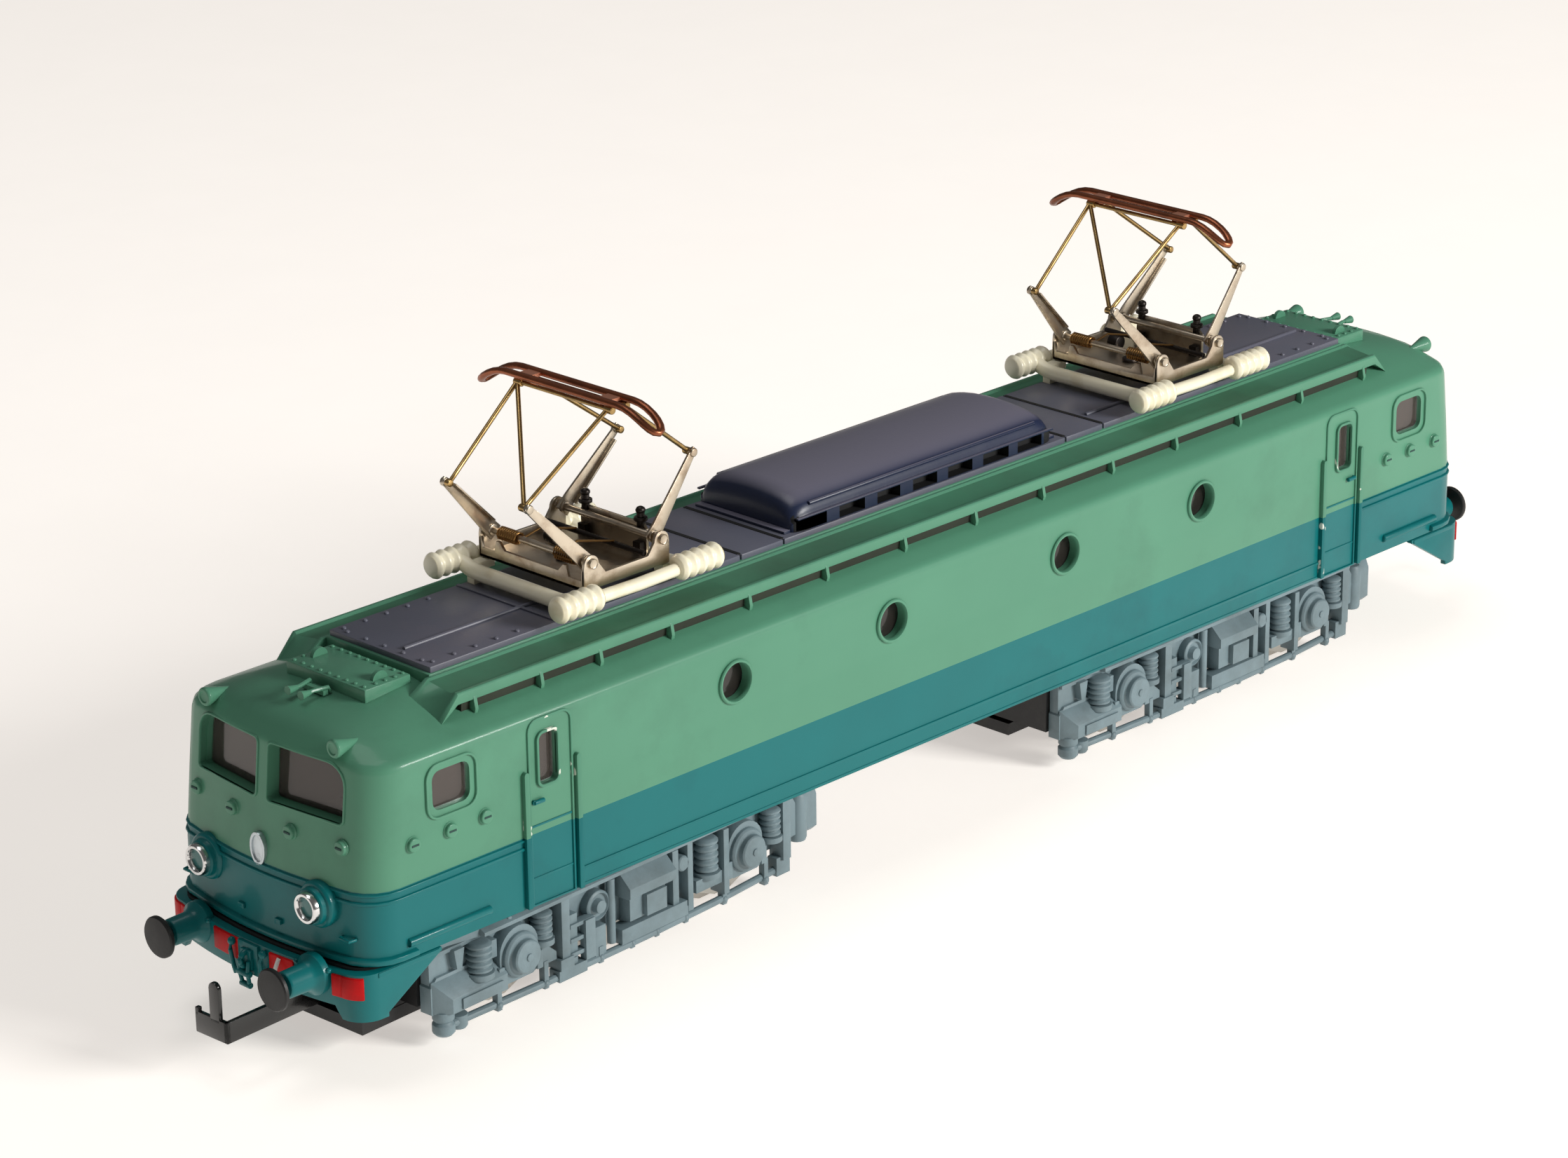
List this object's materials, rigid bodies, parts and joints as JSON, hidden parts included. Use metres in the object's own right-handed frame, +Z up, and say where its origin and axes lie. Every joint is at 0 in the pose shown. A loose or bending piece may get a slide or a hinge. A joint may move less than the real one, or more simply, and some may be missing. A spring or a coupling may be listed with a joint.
{
  "type": "model electric locomotive",
  "caption": "Model electric locomotive: box body with a cab at each end, panelled roof, raised scissor pantographs, swivelling geared bogies, buffers and hook couplers.",
  "frame": {"origin": "on the table under the middle of the locomotive, at the lowest point of the wheel flanges", "axes": "+X along the locomotive towards cab 2, +Y to its left side, +Z up; cab 1 is the -X end"},
  "size_m": [0.2208, 0.0342, 0.0671],
  "materials": {
    "shell_paint": "satin two-tone green paint",
    "roof_paint": "satin dark blue-grey",
    "glazing": "clear plastic",
    "apron_paint": "satin dark green",
    "buffer_black": "black",
    "lamp_ring": "polished",
    "die_cast": "grey die-cast metal",
    "screw_steel": "plain",
    "block_plastic": "black",
    "frame_plastic": "satin blue-grey",
    "wheel_steel": "turned and bright",
    "gear_brass": "cut brass",
    "rotor_mixed": "wound iron rotor",
    "insulator_cream": "glossy cream",
    "nickel_sheet": "nickel-plated, partly tarnished",
    "copper_strip": "dark coppery brown"
  },
  "bodies": {
    "locomotive": {"body_shell": "shell_paint", "roof_deck": "roof_paint", "roof_vent_housing": "roof_paint", "side_glazing_left": "glazing", "side_glazing_right": "glazing", "windscreen_1": "glazing", "windscreen_2": "glazing", "apron_1": "apron_paint", "apron_2": "apron_paint", "headlight_1_left": "lamp_ring", "buffer_head_1_left": "buffer_black", "headlight_1_right": "lamp_ring", "buffer_head_1_right": "buffer_black", "headlight_2_left": "lamp_ring", "buffer_head_2_left": "buffer_black", "headlight_2_right": "lamp_ring", "buffer_head_2_right": "buffer_black", "chassis_plate": "die_cast", "ballast_weight": "die_cast", "ballast_screw_1": "screw_steel", "ballast_screw_2": "screw_steel", "insulator_frame_1": "insulator_cream", "pantograph_base_1": "nickel_sheet", "insulator_frame_2": "insulator_cream", "pantograph_base_2": "nickel_sheet"},
    "bogie_1": {"bogie_block_1": "block_plastic", "wheel_keeper_1": "block_plastic", "sideframe_1_a": "frame_plastic", "sideframe_1_b": "frame_plastic", "pivot_screw": "screw_steel"},
    "bogie_2": {"bogie_block_2": "block_plastic", "wheel_keeper_2": "block_plastic", "sideframe_2_a": "frame_plastic", "sideframe_2_b": "frame_plastic", "turntable_retainer": "screw_steel", "motor_magnet": "die_cast", "motor_brush_plate": "block_plastic"},
    "coupler_1": {"coupler_1": "block_plastic"},
    "wheelset_1_1": {"wheelset_1_1": "wheel_steel"},
    "wheelset_1_2": {"wheelset_1_2": "wheel_steel"},
    "wheelset_1_3": {"wheelset_1_3": "wheel_steel"},
    "coupler_2": {"coupler_2": "block_plastic"},
    "wheelset_2_1": {"wheelset_2_1": "wheel_steel"},
    "wheelset_2_2": {"wheelset_2_2": "wheel_steel"},
    "wheelset_2_3": {"wheelset_2_3": "wheel_steel"},
    "motor_rotor": {"motor_rotor": "rotor_mixed"},
    "idler_gear_top": {"idler_gear_top": "gear_brass"},
    "idler_gear_outer": {"idler_gear_outer": "gear_brass"},
    "idler_gear_inner": {"idler_gear_inner": "gear_brass"},
    "lower_arm_front_1": {"lower_arm_front_1": "nickel_sheet"},
    "lower_arm_rear_1": {"lower_arm_rear_1": "nickel_sheet"},
    "upper_arm_front_1": {"upper_arm_front_1": "nickel_sheet"},
    "upper_arm_rear_1": {"upper_arm_rear_1": "nickel_sheet"},
    "collector_head_1": {"collector_head_1": "copper_strip"},
    "lower_arm_front_2": {"lower_arm_front_2": "nickel_sheet"},
    "lower_arm_rear_2": {"lower_arm_rear_2": "nickel_sheet"},
    "upper_arm_front_2": {"upper_arm_front_2": "nickel_sheet"},
    "upper_arm_rear_2": {"upper_arm_rear_2": "nickel_sheet"},
    "collector_head_2": {"collector_head_2": "copper_strip"}
  },
  "joints": [
    {"name": "bogie_1_swivel", "type": "hinge", "parent": "locomotive", "child": "bogie_1", "pos_m": [-0.0572, 0, 0.016], "axis": [0, 0, 1], "range_deg": [-8.6, 3.4]},
    {"name": "bogie_2_swivel", "type": "hinge", "parent": "locomotive", "child": "bogie_2", "pos_m": [0.052, 0, 0.017], "axis": [0, 0, 1], "range_deg": [-6.5, 5.5]},
    {"name": "coupler_1_swing", "type": "hinge", "parent": "bogie_1", "child": "coupler_1", "pos_m": [-0.08967, -0.00147, 0.0066], "axis": [0, 0, 1], "range_deg": [-8, 8]},
    {"name": "coupler_2_swing", "type": "hinge", "parent": "bogie_2", "child": "coupler_2", "pos_m": [0.0845, 0.00028, 0.0066], "axis": [0, 0, 1], "range_deg": [-8, 8]},
    {"name": "wheelset_1_1_spin", "type": "hinge", "parent": "bogie_1", "child": "wheelset_1_1", "pos_m": [-0.07638, -0.00087, 0.0079], "axis": [-0.0454, 0.999, 0], "continuous": true},
    {"name": "wheelset_1_2_spin", "type": "hinge", "parent": "bogie_1", "child": "wheelset_1_2", "pos_m": [-0.0572, 0, 0.0079], "axis": [-0.0454, 0.999, 0], "continuous": true},
    {"name": "wheelset_1_3_spin", "type": "hinge", "parent": "bogie_1", "child": "wheelset_1_3", "pos_m": [-0.03802, 0.00087, 0.0079], "axis": [-0.0454, 0.999, 0], "continuous": true},
    {"name": "wheelset_2_1_spin", "type": "hinge", "parent": "bogie_2", "child": "wheelset_2_1", "pos_m": [0.0712, 0.00017, 0.0079], "axis": [0.0087, -1, 0], "continuous": true},
    {"name": "wheelset_2_2_spin", "type": "hinge", "parent": "bogie_2", "child": "wheelset_2_2", "pos_m": [0.052, 0, 0.0079], "axis": [0.0087, -1, 0], "continuous": true},
    {"name": "wheelset_2_3_spin", "type": "hinge", "parent": "bogie_2", "child": "wheelset_2_3", "pos_m": [0.0328, -0.00017, 0.0079], "axis": [0.0087, -1, 0], "continuous": true},
    {"name": "idler_gear_top_spin", "type": "hinge", "parent": "bogie_2", "child": "idler_gear_top", "pos_m": [0.052, 0, 0.0179], "axis": [0.0087, -1, 0], "continuous": true},
    {"name": "idler_gear_outer_spin", "type": "hinge", "parent": "bogie_2", "child": "idler_gear_outer", "pos_m": [0.0616, 0.00008, 0.0079], "axis": [0.0087, -1, 0], "continuous": true},
    {"name": "idler_gear_inner_spin", "type": "hinge", "parent": "bogie_2", "child": "idler_gear_inner", "pos_m": [0.0424, -0.00008, 0.0079], "axis": [0.0087, -1, 0], "continuous": true},
    {"name": "motor_rotor_spin", "type": "hinge", "parent": "bogie_2", "child": "motor_rotor", "pos_m": [0.052, 0, 0.0241], "axis": [0.0087, -1, 0], "continuous": true},
    {"name": "pantograph_1_lower_front", "type": "hinge", "parent": "locomotive", "child": "lower_arm_front_1", "pos_m": [-0.0575, 0, 0.0489], "axis": [0, 1, 0], "range_deg": [-32, 0], "stiffness_Nm_per_rad": 0.0006, "springref_deg": 34.38},
    {"name": "pantograph_1_lower_rear", "type": "hinge", "parent": "locomotive", "child": "lower_arm_rear_1", "pos_m": [-0.0463, 0, 0.0489], "axis": [0, 1, 0], "range_deg": [0, 32]},
    {"name": "pantograph_1_upper_front", "type": "hinge", "parent": "lower_arm_front_1", "child": "upper_arm_front_1", "pos_m": [-0.0652, 0, 0.057], "axis": [0, 1, 0], "range_deg": [0, 64]},
    {"name": "pantograph_1_upper_rear", "type": "hinge", "parent": "lower_arm_rear_1", "child": "upper_arm_rear_1", "pos_m": [-0.0386, 0, 0.057], "axis": [0, 1, 0], "range_deg": [-64, 0]},
    {"name": "pantograph_1_head", "type": "hinge", "parent": "upper_arm_front_1", "child": "collector_head_1", "pos_m": [-0.05305, 0, 0.0661], "axis": [0, 1, 0], "range_deg": [-32, 0]},
    {"name": "pantograph_2_lower_front", "type": "hinge", "parent": "locomotive", "child": "lower_arm_front_2", "pos_m": [0.0444, 0, 0.0489], "axis": [0, 1, 0], "range_deg": [-32, 0], "stiffness_Nm_per_rad": 0.0006, "springref_deg": 34.38},
    {"name": "pantograph_2_lower_rear", "type": "hinge", "parent": "locomotive", "child": "lower_arm_rear_2", "pos_m": [0.0556, 0, 0.0489], "axis": [0, 1, 0], "range_deg": [0, 32]},
    {"name": "pantograph_2_upper_front", "type": "hinge", "parent": "lower_arm_front_2", "child": "upper_arm_front_2", "pos_m": [0.0367, 0, 0.057], "axis": [0, 1, 0], "range_deg": [0, 64]},
    {"name": "pantograph_2_upper_rear", "type": "hinge", "parent": "lower_arm_rear_2", "child": "upper_arm_rear_2", "pos_m": [0.0633, 0, 0.057], "axis": [0, 1, 0], "range_deg": [-64, 0]},
    {"name": "pantograph_2_head", "type": "hinge", "parent": "upper_arm_front_2", "child": "collector_head_2", "pos_m": [0.04885, 0, 0.0661], "axis": [0, 1, 0], "range_deg": [-32, 0]}
  ],
  "couplings": [
    {"joint": "wheelset_2_1_spin", "follows": "wheelset_2_2_spin", "ratio": 1},
    {"joint": "wheelset_2_3_spin", "follows": "wheelset_2_2_spin", "ratio": 1},
    {"joint": "idler_gear_outer_spin", "follows": "wheelset_2_2_spin", "ratio": -1.4},
    {"joint": "idler_gear_inner_spin", "follows": "wheelset_2_2_spin", "ratio": -1.4},
    {"joint": "idler_gear_top_spin", "follows": "wheelset_2_2_spin", "ratio": -1.2727},
    {"joint": "motor_rotor_spin", "follows": "wheelset_2_2_spin", "ratio": 3.1111},
    {"joint": "pantograph_1_lower_rear", "follows": "pantograph_1_lower_front", "ratio": -1},
    {"joint": "pantograph_1_upper_front", "follows": "pantograph_1_lower_front", "ratio": -2},
    {"joint": "pantograph_1_upper_rear", "follows": "pantograph_1_lower_front", "ratio": 2},
    {"joint": "pantograph_1_head", "follows": "pantograph_1_lower_front", "ratio": 1},
    {"joint": "pantograph_2_lower_rear", "follows": "pantograph_2_lower_front", "ratio": -1},
    {"joint": "pantograph_2_upper_front", "follows": "pantograph_2_lower_front", "ratio": -2},
    {"joint": "pantograph_2_upper_rear", "follows": "pantograph_2_lower_front", "ratio": 2},
    {"joint": "pantograph_2_head", "follows": "pantograph_2_lower_front", "ratio": 1}
  ]
}
